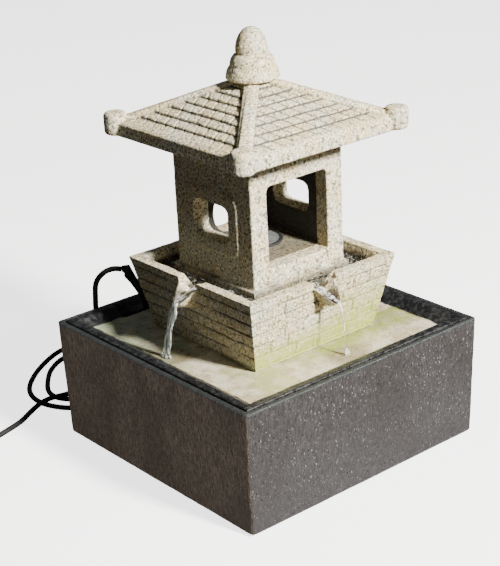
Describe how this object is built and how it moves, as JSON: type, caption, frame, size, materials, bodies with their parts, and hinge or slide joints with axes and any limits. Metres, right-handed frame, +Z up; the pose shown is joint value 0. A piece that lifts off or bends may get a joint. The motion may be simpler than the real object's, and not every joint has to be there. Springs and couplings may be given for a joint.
{
  "type": "stone lantern fountain",
  "caption": "Table-top water fountain shaped as a stone pagoda lantern: hip roof, open chamber and brick basin on a tray that lifts off a square reservoir with a submersible pump.",
  "frame": {"origin": "on the standing surface under the middle of the square reservoir box", "axes": "+Z up; -Y is the doorway side of the lantern, -X and +X are window sides, +Y is the back, where the cord leaves"},
  "size_m": [0.3961, 0.4383, 0.3677],
  "materials": {
    "dark_cast_stone": "dark cast stone with coarse upright grain, semi-matte",
    "tray_cast_stone": "sandy cast stone, wet and stained, black rim",
    "pale_cast_stone": "speckled granite-look cast stone, matte",
    "black_plastic": "moulded, satin",
    "black_rubber": "soft, matte",
    "clear_plastic": "clear, glossy",
    "water": "clear water",
    "led_resin": "clear resin domes",
    "hose_vinyl": "soft clear vinyl",
    "magnet": "sintered magnet and moulded blades",
    "ceramic": "polished",
    "pin_metal": "plated, polished"
  },
  "bodies": {
    "base": {"reservoir_box": "dark_cast_stone", "light_lead_lower": "black_rubber", "lead_connector_socket": "black_plastic", "pump_housing": "black_plastic", "rotor_shaft": "ceramic", "pump_lead": "black_rubber", "cord_sleeve": "black_rubber", "power_cord": "black_rubber", "power_cord_coil": "black_rubber", "power_cord_tail": "black_rubber", "plug_strain_relief": "black_rubber", "plug_transformer": "black_plastic", "plug_pin_1": "pin_metal", "plug_pin_2": "pin_metal", "suction_cup_1": "black_rubber", "suction_cup_2": "black_rubber", "suction_cup_3": "black_rubber", "suction_cup_4": "black_rubber", "foot_pad_front_left": "black_rubber", "foot_pad_front_right": "black_rubber", "foot_pad_back_left": "black_rubber", "foot_pad_back_right": "black_rubber"},
    "fountain_top": {"stone_tray": "tray_cast_stone", "brick_basin": "pale_cast_stone", "chamber_base": "pale_cast_stone", "lantern_chamber": "pale_cast_stone", "hip_roof": "pale_cast_stone", "finial": "pale_cast_stone", "light_ring_housing": "black_plastic", "light_ring_lens": "clear_plastic", "feed_hose": "hose_vinyl", "light_lead_upper": "black_rubber", "lead_connector_plug": "black_plastic", "led_1": "led_resin", "led_2": "led_resin", "led_3": "led_resin", "led_4": "led_resin", "led_5": "led_resin", "led_6": "led_resin"},
    "pump_cover": {"pump_cover": "black_plastic"},
    "flow_dial": {"flow_dial": "black_plastic"},
    "pump_rotor": {"pump_rotor": "magnet"}
  },
  "joints": [
    {"name": "top_lift", "type": "slide", "parent": "base", "child": "fountain_top", "axis": [0, 0, 1], "range_m": [0, 0.16]},
    {"name": "cover_pull", "type": "slide", "parent": "base", "child": "pump_cover", "axis": [-1, 0, 0], "range_m": [0, 0.03]},
    {"name": "dial_turn", "type": "hinge", "parent": "pump_cover", "child": "flow_dial", "pos_m": [-0.0241, 0.021, 0.0455], "axis": [1, 0, 0], "range_deg": [0, 120]},
    {"name": "rotor_spin", "type": "hinge", "parent": "base", "child": "pump_rotor", "pos_m": [0.004, 0.0105, 0.036], "axis": [1, 0, 0], "continuous": true}
  ]
}
